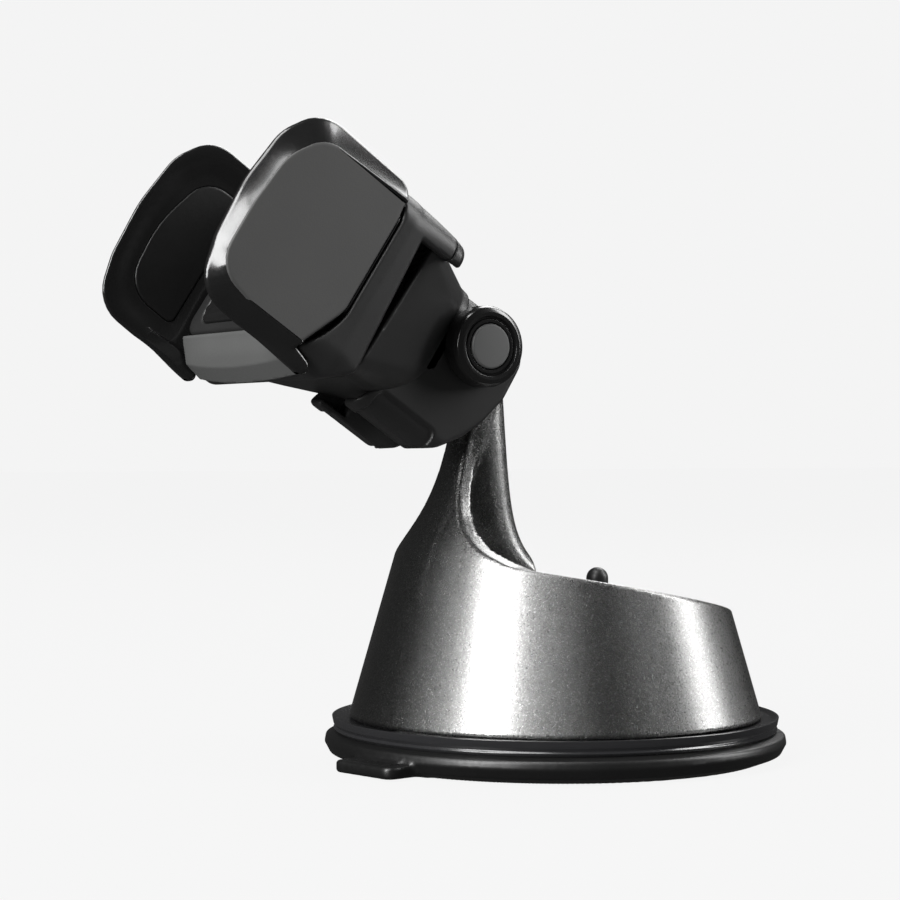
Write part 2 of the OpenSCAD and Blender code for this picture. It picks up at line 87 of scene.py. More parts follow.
def outline(a, b, points, r=0.0):
    """Signed distance to a closed outline whose corners are rounded to radius r on the outside."""
    pts = np.array(points, float)
    nearest = np.full(np.shape(a), np.inf)
    sign = np.ones(np.shape(a))
    for i in range(len(pts)):
        p, q = pts[i], pts[i - 1]
        ex, ey = q - p
        wa, wb = a - p[0], b - p[1]
        t = np.clip((wa * ex + wb * ey) / (ex * ex + ey * ey), 0, 1)
        nearest = np.minimum(nearest, (wa - ex * t) ** 2 + (wb - ey * t) ** 2)
        c1, c2, c3 = b >= p[1], b < q[1], ex * wb > ey * wa
        flip = (c1 & c2 & c3) | (~c1 & ~c2 & ~c3)
        sign = np.where(flip, -sign, sign)
    return sign * np.sqrt(nearest) - r


def surface(field, low, high, step, relax=2):
    """Points and quads of a field's zero surface between two corners, with points drawn onto the surface."""
    axes = [np.arange(lo - 2 * step, hi + 3 * step, step) for lo, hi in zip(low, high)]
    value = field(*np.meshgrid(*axes, indexing="ij"))
    corner = {}
    n = [len(a) - 1 for a in axes]
    count = np.zeros(n, np.int8)
    for di in (0, 1):
        for dj in (0, 1):
            for dk in (0, 1):
                v = value[di:di + n[0], dj:dj + n[1], dk:dk + n[2]]
                corner[di, dj, dk] = v
                count += v < 0
    active = (count > 0) & (count < 8)
    where = np.argwhere(active)
    index = np.full(n, -1, np.int64)
    index[active] = np.arange(len(where))
    total = np.zeros((len(where), 3))
    hits = np.zeros(len(where))
    local = {key: v[active] for key, v in corner.items()}
    for a in local:
        for axis in range(3):
            if a[axis]:
                continue
            b = tuple(1 if i == axis else a[i] for i in range(3))
            va, vb = local[a], local[b]
            crossing = (va < 0) != (vb < 0)
            t = np.where(crossing, va / np.where(crossing, va - vb, 1), 0)
            point = np.tile(np.array(a, float), (len(where), 1))
            point[:, axis] += t
            total += point * crossing[:, None]
            hits += crossing
    cell = where + total / hits[:, None]
    points = np.stack([axes[i][0] + cell[:, i] * step for i in range(3)], 1)
    quads = []
    for axis in range(3):
        b, c = (axis + 1) % 3, (axis + 2) % 3
        lo = [slice(None)] * 3
        hi = [slice(None)] * 3
        lo[axis], hi[axis] = slice(0, -1), slice(1, None)
        inside_a, inside_b = value[tuple(lo)] < 0, value[tuple(hi)] < 0
        edges = np.argwhere(inside_a != inside_b)
        edges = edges[(edges[:, b] > 0) & (edges[:, c] > 0) & (edges[:, b] < n[b]) & (edges[:, c] < n[c])]
        ring = []
        for sb, sc in ((1, 1), (0, 1), (0, 0), (1, 0)):
            e = edges.copy()
            e[:, b] -= sb
            e[:, c] -= sc
            ring.append(index[e[:, 0], e[:, 1], e[:, 2]])
        quad = np.stack(ring, 1)
        outward = inside_a[edges[:, 0], edges[:, 1], edges[:, 2]]
        quad[~outward] = quad[~outward][:, ::-1]
        quads.append(quad)
    quads = np.concatenate(quads)

    def drawn(p, rounds):
        h = 0.02
        for _ in range(rounds):
            d = field(*p.T)
            g = np.stack([field(*(p + h * e).T) - field(*(p - h * e).T) for e in np.eye(3)], 1) / (2 * h)
            length = np.maximum((g * g).sum(1), 0.05)
            move = -(d / length)[:, None] * g
            size = np.linalg.norm(move, axis=1, keepdims=True)
            p = p + move * np.minimum(1, 0.7 * step / np.maximum(size, 1e-9))
        return p

    points = drawn(points, 2)
    for _ in range(relax):
        around = np.zeros_like(points)
        degree = np.zeros(len(points))
        for i in range(4):
            for other in (quads[:, (i + 1) % 4], quads[:, i - 1]):
                np.add.at(around, quads[:, i], points[other])
                np.add.at(degree, quads[:, i], 1)
        points = drawn(points + 0.5 * (around / degree[:, None] - points), 1)
    return points, quads


def mesh_piece(name, points, faces, body, material, replaces=()):
    """A smooth-shaded piece from points in millimetres and faces of one size."""
    faces = np.asarray(faces)
    mesh = bpy.data.meshes.new(name)
    mesh.vertices.add(len(points))
    mesh.vertices.foreach_set("co", (np.asarray(points) * MM).astype(np.float32).ravel())
    size = faces.shape[1]
    mesh.loops.add(faces.size)
    mesh.loops.foreach_set("vertex_index", faces.astype(np.int32).ravel())
    mesh.polygons.add(len(faces))
    mesh.polygons.foreach_set("loop_start", np.arange(0, faces.size, size, dtype=np.int32))
    mesh.polygons.foreach_set("use_smooth", np.ones(len(faces), bool))
    mesh.update(calc_edges=True)
    mesh.validate()
    piece = bpy.data.objects.new(name, mesh)
    bpy.context.scene.collection.objects.link(piece)
    mesh.materials.append(material)
    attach(piece, body)
    if replaces:
        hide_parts(*replaces)
    return piece


def base_piece(name, field, low, high, step, body, material, replaces=(), relax=2):
    """A piece in the base: the field takes sideways, forward and up, from the middle of the suction face."""
    points, quads = surface(field, low, high, step, relax)
    world = points * [1, -1, 1]
    return mesh_piece(name, world, quads[:, ::-1], body, material, replaces)


def head_piece(name, field, low, high, step, body, material, replaces=(), relax=2):
    """A piece in the head: the field takes sideways, forward and up the phone, from the tilt axis."""
    points, quads = surface(field, low, high, step, relax)
    world = tilt_centre + points[:, :1] * [1, 0, 0] + points[:, 1:2] * FORWARD + points[:, 2:] * UP
    return mesh_piece(name, world, quads[:, ::-1], body, material, replaces)


def lathe(profile, steps=128):
    """Points and quads of a closed profile of (radius, height) turned about the Z axis, in millimetres."""
    turns = np.linspace(0, 2 * math.pi, steps, endpoint=False)
    points = np.array([[r * math.cos(t), r * math.sin(t), z] for t in turns for r, z in profile])
    n = len(profile)
    quads = []
    for i in range(steps):
        a, b = i * n, (i + 1) % steps * n
        for j in range(n):
            k = (j + 1) % n
            quads.append([a + j, b + j, b + k, a + k])
    return points, np.array(quads)


def smooth_profile(corners):
    """A profile whose corners (radius, height, rounding) are replaced by short arcs."""
    out = []
    n = len(corners)
    for i in range(n):
        b = np.array(corners[i][:2], float)
        r = corners[i][2]
        a = np.array(corners[i - 1][:2], float)
        c = np.array(corners[(i + 1) % n][:2], float)
        if r <= 0:
            out.append(b)
            continue
        u, v = a - b, c - b
        lu, lv = np.hypot(*u), np.hypot(*v)
        u, v = u / lu, v / lv
        half = math.acos(max(-1, min(1, float(u @ v)))) / 2
        back = min(r / math.tan(half), 0.45 * lu, 0.45 * lv)
        for t in np.linspace(0, 1, 6):
            out.append((1 - t) ** 2 * (b + u * back) + 2 * t * (1 - t) * b + t ** 2 * (b + v * back))
    return [tuple(p) for p in out]


# ---- Materials ----

def new_material(name):
    material = bpy.data.materials.new(name)
    material.use_nodes = True
    tree = material.node_tree
    shader = tree.nodes["Principled BSDF"]
    return material, tree, shader


def node(tree, kind, **values):
    made = tree.nodes.new(kind)
    for key, value in values.items():
        if key in made.inputs:
            made.inputs[key].default_value = value
        else:
            setattr(made, key, value)
    return made


def ramp(tree, source, low, high, out_low, out_high):
    made = node(tree, "ShaderNodeMapRange")
    made.inputs["From Min"].default_value = low
    made.inputs["From Max"].default_value = high
    made.inputs["To Min"].default_value = out_low
    made.inputs["To Max"].default_value = out_high
    tree.links.new(source, made.inputs["Value"])
    return made.outputs["Result"]


def tint(tree, factor, first, second):
    made = node(tree, "ShaderNodeMix", data_type="RGBA")
    made.inputs[6].default_value = (*first, 1)
    made.inputs[7].default_value = (*second, 1)
    tree.links.new(factor, made.inputs[0])
    return made.outputs[2]


def moulded(name, dark, light, rough, grain, height, coat=0.0, specular=0.5):
    """Moulded plastic: fine grain in the surface, and slow changes of tone and gloss."""
    material, tree, shader = new_material(name)
    place = node(tree, "ShaderNodeTexCoord").outputs["Object"]
    fine = node(tree, "ShaderNodeTexNoise", Scale=grain, Detail=3.0, Roughness=0.6)
    broad = node(tree, "ShaderNodeTexNoise", Scale=60.0, Detail=2.0, Roughness=0.5)
    for texture in (fine, broad):
        tree.links.new(place, texture.inputs["Vector"])
    tree.links.new(tint(tree, broad.outputs["Fac"], dark, light), shader.inputs["Base Color"])
    rough_mix = node(tree, "ShaderNodeMath", operation="ADD")
    tree.links.new(ramp(tree, fine.outputs["Fac"], 0.3, 0.7, rough[0], rough[1]), rough_mix.inputs[0])
    tree.links.new(ramp(tree, broad.outputs["Fac"], 0.3, 0.7, -0.02, 0.02), rough_mix.inputs[1])
    tree.links.new(rough_mix.outputs[0], shader.inputs["Roughness"])
    bump = node(tree, "ShaderNodeBump", Strength=height, Distance=0.00015)
    tree.links.new(fine.outputs["Fac"], bump.inputs["Height"])
    tree.links.new(bump.outputs["Normal"], shader.inputs["Normal"])
    shader.inputs["Specular IOR Level"].default_value = specular
    shader.inputs["Coat Weight"].default_value = coat
    shader.inputs["Coat Roughness"].default_value = 0.08
    return material


def flake_paint(name):
    """Gunmetal paint: dark grey with fine bright flakes under a satin coat."""
    material, tree, shader = new_material(name)
    place = node(tree, "ShaderNodeTexCoord").outputs["Object"]
    flakes = node(tree, "ShaderNodeTexVoronoi", Scale=6400.0)
    big = node(tree, "ShaderNodeTexVoronoi", Scale=3800.0)
    grain = node(tree, "ShaderNodeTexNoise", Scale=2200.0, Detail=3.0, Roughness=0.7)
    broad = node(tree, "ShaderNodeTexNoise", Scale=45.0, Detail=2.0)
    for texture in (flakes, big, grain, broad):
        tree.links.new(place, texture.inputs["Vector"])
    split = node(tree, "ShaderNodeSeparateColor")
    tree.links.new(flakes.outputs["Color"], split.inputs[0])
    split_big = node(tree, "ShaderNodeSeparateColor")
    tree.links.new(big.outputs["Color"], split_big.inputs[0])
    bright = ramp(tree, split.outputs[0], 0.86, 1.0, 0.0, 1.0)
    bright_big = ramp(tree, split_big.outputs[0], 0.93, 1.0, 0.0, 0.8)
    both = node(tree, "ShaderNodeMath", operation="MAXIMUM")
    tree.links.new(bright, both.inputs[0])
    tree.links.new(bright_big, both.inputs[1])
    ground = tint(tree, broad.outputs["Fac"], (0.17, 0.17, 0.168), (0.2, 0.2, 0.197))
    colour = node(tree, "ShaderNodeMix", data_type="RGBA")
    tree.links.new(both.outputs[0], colour.inputs[0])
    tree.links.new(ground, colour.inputs[6])
    colour.inputs[7].default_value = (0.36, 0.36, 0.355, 1)
    tree.links.new(colour.outputs[2], shader.inputs["Base Color"])
    tree.links.new(ramp(tree, grain.outputs["Fac"], 0.3, 0.7, 0.24, 0.34), shader.inputs["Roughness"])
    shader.inputs["Metallic"].default_value = 1.0
    bump = node(tree, "ShaderNodeBump", Strength=0.35, Distance=0.0001)
    tree.links.new(grain.outputs["Fac"], bump.inputs["Height"])
    flake_bump = node(tree, "ShaderNodeBump", Strength=0.3, Distance=0.00012)
    tree.links.new(split.outputs[1], flake_bump.inputs["Height"])
    tree.links.new(bump.outputs["Normal"], flake_bump.inputs["Normal"])
    tree.links.new(flake_bump.outputs["Normal"], shader.inputs["Normal"])
    shader.inputs["Coat Weight"].default_value = 0.1
    shader.inputs["Coat Roughness"].default_value = 0.3
    return material


def brushed_steel(name):
    """Turned steel with fine brush marks."""
    material, tree, shader = new_material(name)
    place = node(tree, "ShaderNodeTexCoord").outputs["Object"]
    stretch = node(tree, "ShaderNodeMapping")
    stretch.inputs["Scale"].default_value = (1, 1, 14)
    tree.links.new(place, stretch.inputs["Vector"])
    marks = node(tree, "ShaderNodeTexNoise", Scale=500.0, Detail=4.0)
    tree.links.new(stretch.outputs["Vector"], marks.inputs["Vector"])
    tree.links.new(tint(tree, marks.outputs["Fac"], (0.42, 0.42, 0.43), (0.66, 0.66, 0.67)),
                   shader.inputs["Base Color"])
    tree.links.new(ramp(tree, marks.outputs["Fac"], 0.3, 0.7, 0.22, 0.42), shader.inputs["Roughness"])
    shader.inputs["Metallic"].default_value = 1.0
    bump = node(tree, "ShaderNodeBump", Strength=0.2, Distance=0.0001)
    tree.links.new(marks.outputs["Fac"], bump.inputs["Height"])
    tree.links.new(bump.outputs["Normal"], shader.inputs["Normal"])
    return material


PAINT = flake_paint("gunmetal_paint")
SATIN = moulded("satin_black", (0.009, 0.009, 0.009), (0.013, 0.013, 0.013), (0.38, 0.46), 2600.0, 0.08,
                specular=0.42)
GLOSS = moulded("gloss_black", (0.005, 0.005, 0.005), (0.008, 0.008, 0.008), (0.19, 0.23), 1400.0, 0.004, 0.2)
RING = moulded("ring_gloss", (0.012, 0.012, 0.013), (0.018, 0.018, 0.019), (0.18, 0.24), 1600.0, 0.008, 0.3)
PANEL = moulded("panel_matte", (0.033, 0.033, 0.0325), (0.039, 0.039, 0.038), (0.5, 0.6), 3000.0, 0.12)
CAP = moulded("cap_grey", (0.055, 0.056, 0.056), (0.066, 0.067, 0.066), (0.42, 0.5), 3000.0, 0.1)
TRIM = moulded("trim_grey", (0.056, 0.057, 0.056), (0.07, 0.071, 0.07), (0.35, 0.45), 2400.0, 0.08)
RUBBER = moulded("rubber_black", (0.003, 0.003, 0.003), (0.005, 0.005, 0.005), (0.36, 0.44), 1800.0, 0.1,
                 specular=0.4)
CUP = moulded("cup_rubber", (0.003, 0.003, 0.003), (0.005, 0.005, 0.005), (0.34, 0.44), 1500.0, 0.06)
WHITE = moulded("acetal_white", (0.55, 0.55, 0.52), (0.62, 0.62, 0.59), (0.35, 0.45), 2000.0, 0.05)
STEEL = brushed_steel("steel")


# ---- Suction base ----

FOOT_R = 44.2
FOOT_Z = 9.2
SLOPE = 0.285
DECK_Z = 36.9
FALL = math.radians(10.5)
NECK_HALF = 4.2
KNUCKLE_R = 9.5
BOLT_HOLE_R = 3.05


def drum_radius(z):
    return FOOT_R - SLOPE * (z - FOOT_Z)


def deck(f, z, drop=0.0):
    """Height above the slanted deck, measured square to it."""
    return (z - DECK_Z - math.tan(FALL) * f) * math.cos(FALL) + drop


def neck_width(z):
    """Half width of the front blade: narrow above, flaring into the drum's rim."""
    s = z - 43.9
    above = 4.0 + 14.1 * np.exp(-0.146 * np.maximum(s, 0) - 0.00016 * np.maximum(s, 0) ** 3)
    return above - 2.06 * np.minimum(s, 0)


def neck_inset(z):
    """How far the blade's face falls behind the drum's cone as it climbs."""
    return 2.3 * (1 - np.exp(-(np.maximum(z - 43.3, 0) / 9) ** 1.5))


def rib_rear(z):
    """Forward distance of the rib's rear face, which sweeps back into the deck."""
    return 13.3 + 0.07 * (z - 65) - 6.9 * np.exp(-(z - 40.9) / 5.3)


def housing_field(n, f, z):
    """Tapered drum under a slanted deck, with a neck of a front blade, a web and a rear rib."""
    r = np.hypot(n, f)
    wall = (r - drum_radius(z) + neck_inset(z)) / math.hypot(1, SLOPE)
    width = neck_width(z)
    slope = np.hypot(1, 0.14 * (width - 4.0))
    side = (np.abs(n) - width) / slope
    blade = np.maximum(np.maximum(side, -(wall + 3.2)), np.maximum(-f, z - 80))
    floor = deck(f, z) + 1.5 * smooth_step(-wall, 1.9, 2.7)
    top = join(floor, blade, 0.8)
    solid = cut(wall, top, 0.45)
    solid = cut(solid, FOOT_Z - 0.7 - z, 0.6)
    rear = rib_rear(z)
    rib = (np.hypot(n / 4.3, (f - rear - 5.5) / 5.5) - 1) * 4.3
    rib = np.maximum(rib, np.maximum(z - 82, 36 - z))
    web = np.maximum(np.abs(n) - 2.4, np.maximum(rear + 4 - f, wall + 1.2))
    web = np.maximum(web, np.maximum(z - 80, 36 - z))
    neck = join(rib, web, 1.6)
    knuckle = cut(np.hypot(f - HEAD_F, z - HEAD_Z) - KNUCKLE_R, np.abs(n) - NECK_HALF, 0.6)
    neck = join(neck, knuckle, 2.0)
    solid = join(solid, neck, 1.8)
    hollow = np.maximum(np.maximum(wall + 4.2, deck(f, z, 4.2)), 5 - z)
    solid = np.maximum(solid, -hollow)
    solid = np.maximum(solid, BOLT_HOLE_R - np.hypot(f - HEAD_F, z - HEAD_Z))
    bay = block(n, f + 7.5, 9.85, 15.15, 1.5)
    return cut(solid, -np.maximum(bay, 20 - z), 0.3)


def ring_profile():
    return smooth_profile([
        (13.2, 5.4, 0), (47.0, 5.4, 0.25), (47.75, 6.2, 0.2), (47.35, 6.65, 0.15), (47.7, 7.3, 0.25),
        (48.0, 8.75, 0.12), (47.5, 8.8, 0.12), (46.4, 8.25, 0.3), (13.2, 8.2, 0),
    ])


def cup_field(n, f, z):
    """Soft cup with a heavy rounded rim, a hollow underside and a pull tab."""
    r = np.hypot(n, f)
    body = outline(r, z, [(13.0, 5.2), (13.0, 3.8), (30, 2.5), (40, 0.5), (45.0, 0.5), (48.2, 1.7),
                          (49.1, 3.4),
                          (48.9, 4.5), (47.2, 5.1)], 0.45)
    a = math.radians(10)
    out = f * math.cos(a) + n * math.sin(a)
    side = -f * math.sin(a) + n * math.cos(a)
    tab = cut(block(out - 47.5, side, 7.5, 8.8, 2.2), slab(z, 0.45, 2.9), 0.7)
    grip = np.abs(((out - 50.2) / 1.25 + 0.5) % 1 - 0.5) * 1.25 - 0.28
    ridges = np.maximum(np.maximum(grip, np.abs(out - 51.4) - 2.2), np.maximum(np.abs(side) - 6, z - 3.25))
    tab = join(tab, np.maximum(ridges, 2.2 - z), 0.25)
    tab = np.maximum(tab, 44 - r)
    return join(body, tab, 1.0)


HEAD_F = -tilt_centre[1]
HEAD_Z = tilt_centre[2]
PIN_Z = 32.4


def lever_field(n, f, z):
    """Cam lever: two ears on the pin, a flat paddle and a round thumb nub."""
    y = -f
    ears = cut(np.hypot(y, z - PIN_Z) - 3.4, slab(np.abs(n), 3.4, 6.4), 0.4)
    paddle = cut(block(n, y - 10.3, 6.4, 5.7, 2.4), np.abs(z - PIN_Z) - 1.7, 0.6)
    bars = cut(block(y - 4, z - PIN_Z, 4, 1.7, 0.4), slab(np.abs(n), 3.4, 6.4), 0.4)
    nub = np.sqrt(n * n + (y - 11.4) ** 2 + np.maximum(z - 37.6, 0) ** 2) - 2.4
    nub = np.maximum(nub, PIN_Z - z)
    body = join(join(join(ears, paddle, 0.5), bars, 0.5), nub, 0.7)
    return np.maximum(body, 1.3 - np.hypot(y, z - PIN_Z))


def tray_field(n, f, z):
    """Tray let into the deck, with a bore for the plunger and a soft upper edge."""
    y = -f
    outer = cut(block(n, y - 7.5, 9.75, 15.05, 1.4), deck(f, z, 1.6), 0.4)
    outer = np.maximum(outer, 20 - z)
    inner = cut(block(n, y - 7.5, 8.2, 13.5, 1.2), 21.8 - z, 0.4)
    return np.maximum(cut(outer, -inner, 0.3), 3.6 - np.hypot(n, y))


def make_base():
    base_piece("housing_shell", housing_field, (-45, -45, 8), (45, 45, 99), 0.62, "base",
               PAINT, ["base_housing"])
    base_piece("cup_skin", cup_field, (-50.5, -50.5, 0), (50.5, 56, 5.6), 0.5, "base", CUP,
               ["suction_cup"])
    points, quads = lathe(ring_profile(), 192)
    mesh_piece("ring_skin", points, quads, "base", RING, ["base_ring"])
    base_piece("lever_skin", lever_field, (-6.6, -16.4, 28.6), (6.6, 3.8, 40.4), 0.3, "lever",
               SATIN, ["lock_lever"])
    base_piece("tray_skin", tray_field, (-10, -23, 19.6), (10, 8, 38.5), 0.45, "base",
               SATIN, ["lever_tray"])


# ---- Head ----

CHEEK_HALF = 11.5
HALF_W = 26.4
BAND_P = 28.6
BAND_REAR_P = 29.2
SHELL_WALL = 2.2
HOOD_WALL = 2.3
ARM_INNER = 22.62
ARM_RIM = 23.4
RIM_DROP = 3.0
ARM_REAR_P = 36.0
PANEL_THICK = 0.95
PAD_BACK = 24.25
HOUSING_FRONT_P = 23.6
HOUSING_REAR_P = 5.5
KNOB_GAP = 0.7
HOOD_END_P = 17.9
CAP_SEAM_P = 21.35
PLATE_P = 43.5
PLATE_HALF = 22.3
PHONE_TOP = 12.0
HEAD_LOW = -31.0


def arc_outline(corners, steps=7):
    """Closed outline from corners (a, b, radius) with each corner turned into an arc."""
    out = []
    n = len(corners)
    for i in range(n):
        b = np.array(corners[i][:2], float)
        r = corners[i][2]
        u = np.array(corners[i - 1][:2], float) - b
        v = np.array(corners[(i + 1) % n][:2], float) - b
        lu, lv = np.hypot(*u), np.hypot(*v)
        u, v = u / lu, v / lv
        half = math.acos(max(-1, min(1, float(u @ v)))) / 2
        back = r / math.tan(half)
        if r <= 0 or back < 0.02:
            out.append(b)
            continue
        middle = (u + v) / np.hypot(*(u + v))
        centre = b + middle * r / math.sin(half)
        start, end = b + u * back - centre, b + v * back - centre
        a0, a1 = math.atan2(start[1], start[0]), math.atan2(end[1], end[0])
        turn = (a1 - a0 + math.pi) % (2 * math.pi) - math.pi
        for t in np.linspace(0, 1, steps):
            a = a0 + turn * t
            out.append(centre + r * np.array([math.cos(a), math.sin(a)]))
    return out


ARM_OUTLINE = arc_outline([
    (35.5, 3.5, 6), (36.6, 12.6, 2.6), (59.6, 12.9, 8.6), (64.8, 4.2, 12), (66.1, -8.3, 30),
    (65.2, -20.5, 14),
    (62.4, -31.2, 8.0), (52.0, -31.8, 20), (41.5, -31.2, 1.6), (35.5, -17.5, 9),
])
ARM_REACH = arc_outline([
    (20.0, 12.6, 0), (59.6, 12.9, 8.6), (64.8, 4.2, 12), (66.1, -8.3, 30), (65.2, -20.5, 14),
    (62.4, -31.2, 8.0), (52.0, -31.8, 20), (20.0, -32.4, 0),
])
LIP_OUTLINE = arc_outline([
    (50.0, -28.5, 0), (50.0, -31.6, 0), (43.0, -32.1, 20), (35.0, -32.7, 1.4), (36.2, -29.6, 1.4),
    (42.0, -28.0, 2),
])
PANEL_OUTLINE = arc_outline([
    (20.0, 9.4, 0), (36.7, 8.8, 30), (57.2, 7.6, 7.0), (61.9, 0.0, 14), (62.9, -12.0, 30), (62.5, -26.0, 6.5),
    (52.0, -27.9, 20), (20.0, -27.9, 0),
])
PAD_OUTLINE = arc_outline([
    (46.0, 5.6, 1.5), (56.0, 5.6, 7.0), (60.0, -9.0, 30), (58.6, -24.2, 7.0), (46.0, -24.8, 1.5),
])


def rise(edge, crest):
    """0 at the rim and 1 at the crest, from the distances outside each outline."""
    return np.clip(-edge, 0, None) / np.maximum(np.clip(-edge, 0, None) + np.clip(crest, 0, None), 1e-6)


def arm_faces(p, u):
    """Distances to the panel's and pad's outlines, and the sideways places of the arm's two faces."""
    edge = outline(p, u, ARM_REACH)
    panel = outline(p, u, PANEL_OUTLINE)
    pad = outline(p, u, PAD_OUTLINE)
    bevel = rise(edge, panel)
    outer = HALF_W - RIM_DROP * (1 - bevel) - 0.5 * bevel * (1 - bevel)
    dish = rise(edge, pad)
    inner = ARM_INNER + 1.3 * smooth_step(dish, 0.1, 0.95)
    return panel, pad, outer, inner


def lip_field(x, p, u, grow=0.0):
    """Rounded lip that runs rearwards along the arm's lower edge, inside the shell's side."""
    out = ARM_RIM + 1.9 * smooth_step(50 - p, 0, 12)
    return cut(outline(p, u, LIP_OUTLINE), cut(x - out, 22.6 - x, 0.3), 0.8) - grow


def arm_field(x, p, u):
    """Arm plate: bevelled outside and dished inside, with a seat for the matte panel and one for the pad."""
    panel, pad, outer, inner = arm_faces(p, u)
    shape = outline(p, u, ARM_OUTLINE)
    skin = cut(x - outer, inner - x, 0.5)
    body = cut(shape, skin, 0.5)
    body = join(body, lip_field(x, p, u), 0.4)
    seat = np.maximum(panel + 0.7, np.maximum(35.9 - p, HALF_W - 1.0 - x))
    body = np.maximum(body, -seat)
    liner = np.maximum(pad - 0.02, x - 24.3)
    return np.maximum(body, -liner)


def panel_field(x, p, u):
    """Matte panel, flush in the arm's outer face."""
    panel = outline(p, u, PANEL_OUTLINE)
    side = np.maximum(np.maximum(panel - 0.25, ARM_REAR_P - p), outline(p, u, ARM_OUTLINE) + 0.45)
    return cut(cut(side, x - (HALF_W + 0.1), 0.4), HALF_W - PANEL_THICK - x, 0.1)


def pad_field(x, p, u):
    """Grip pad in the arm's dished inner face."""
    pad = outline(p, u, PAD_OUTLINE) + 0.03
    return cut(cut(pad, 23.74 - x, 0.25), x - PAD_BACK, 0.1)


def shell_half(p):
    """Half width of the shell: straight by the arms and tapering towards the rear."""
    return 26.3 - 0.12 * np.maximum(32.4 - p, 0)


def shell_top(p):
    return PHONE_TOP + 0.1 - 0.03 * np.maximum(33 - p, 0) ** 1.5


def shell_section(x, p, u, shrink=0.0):
    """Distance to the shell's front outline, which changes with depth."""
    top, low = shell_top(p) - shrink, HEAD_LOW + shrink
    r = np.clip(7.0 - 0.32 * (31 - p), 4.0, 7.0) - 0.8 * shrink
    return block(x, u - (top + low) / 2, shell_half(p) - shrink, (top - low) / 2, r)


def seam_front(u):
    """Depth of the seam between the shell and the arms, which runs forward at both ends."""
    return 35.05 + 0.17 * np.maximum(u - 4, 0) ** 1.35 + 0.10 * np.maximum(-17.2 - u, 0) ** 1.62


def shell_field(x, p, u):
    """Shell behind the arms, with the hood that laps over the rear housing."""
    outer = shell_section(x, p, u)
    rear = BAND_REAR_P + 0.066 * (u - 5.4)
    under = (-25.2 - 0.95 * (p - 26.6) - u) / 1.38
    front = np.where(np.abs(x) > 22.45, seam_front(u), 35.05)
    band = cut(cut(outer, rear - p, 0.5), p - front, 0.3)
    cavity = np.maximum(np.maximum(shell_section(x, p, u, SHELL_WALL), 31.2 - p), under + SHELL_WALL)
    band = np.maximum(cut(band, under, 0.8), -cavity)
    edge = 5.0 - 0.12 * (p - 25)
    hood = cut(np.maximum(outer, np.maximum(CAP_SEAM_P - p, p - 31)), edge - u, 0.4)
    inside = np.maximum(shell_section(x, p, u, HOOD_WALL), p - BAND_P)
    body = join(band, hood, 0.0)
    body = cut(body, -np.maximum(inside, p - rear), 0.4)
    return np.maximum(body, -lip_field(np.abs(x), p, u, 0.3))


def hood_cap_field(x, p, u):
    """Cap that closes the rear end of the hood."""
    outer = shell_section(x, p, u)
    edge = 5.0 - 0.12 * (p - 25)
    cap = cut(cut(outer, HOOD_END_P + 0.05 * (10 - u) - p, 1.8), edge - u, 0.4)
    cap = cut(cap, p - (CAP_SEAM_P - 0.12), 0.15)
    inside = shell_section(x, p, u, HOOD_WALL)
    return cut(cap, -inside, 0.4)


def housing_half(p):
    return np.maximum(11.5, 11.5 + (p - 7.7) * 0.517)


def rear_field(x, p, u):
    """Tapered housing between the knuckle casing and the cradle."""
    half = housing_half(p)
    top = 10.9 + 0.04 * (p - 10)
    low = -19.0 - 0.33 * (p - 7.5)
    r = np.clip(10.0 - 0.22 * p, 5.2, 9.0)
    body = block(x, u - (top + low) / 2, half, (top - low) / 2, r) / 1.12
    front = HOUSING_FRONT_P - 0.05 * (u - 6)
    body = cut(body, p - front, 0.5)
    inner = block(x, u - (top + low) / 2, half - 2.2, (top - low) / 2 - 2.2, 4) / 1.12
    body = cut(body, -np.maximum(inner, 15.8 - p), 0.4)
    return np.maximum(body, HOUSING_REAR_P - p)


CASING_SIDE = arc_outline([
    (13.2, 8.0, 0), (13.2, -8.0, 0), (12.6, -18.2, 2.5), (15.4, -21.2, 1.2), (17.4, -25.3, 1.0),
    (0.4, -25.3, 4), (-3.6, -22.4, 5), (-7.4, -17.2, 8), (-9.9, -11.8, 14), (-11.6, -5.2, 8),
    (-11.3, 5.2, 9), (-7.2, 10.2, 9), (2.0, 10.2, 9.5), (9.6, 8.8, 5),
])


def casing_field(x, p, u):
    """Slotted casing that straddles the neck, with an open chin and a sunk strip along each lower flank."""
    side = outline(p, u, CASING_SIDE)
    width = np.abs(x) - CHEEK_HALF
    top = block(x, u + 7.7, CHEEK_HALF, 18.1, np.where(u > -6, 9.2, 5.6))
    outer = cut(side, np.maximum(width, top), 0.7)
    slot = np.maximum(np.abs(x) - 5.0, outline(
        p, u, [(11.6, 18), (11.6, -13), (13, -19), (24, -22), (24, -32), (-32, -32), (-32, 18)]))
    body = cut(outer, -slot, 0.3)
    chin = np.maximum(np.maximum(np.abs(x) - 9.2, 10.0 - p), block(u + 20.9, p - 18, 2.9, 10, 0.8))
    body = cut(body, -chin, 0.25)
    across = (np.abs(x) - 9.6) * 0.62 - (u + 22.6) * 0.78
    strip = np.maximum(block(p - 6.3, across - 0.6, 7.8, 1.55, 1.5), -(outer + 0.55))
    body = cut(body, -strip, 0.15)
    return np.maximum(body, BOLT_HOLE_R - np.hypot(p, u))


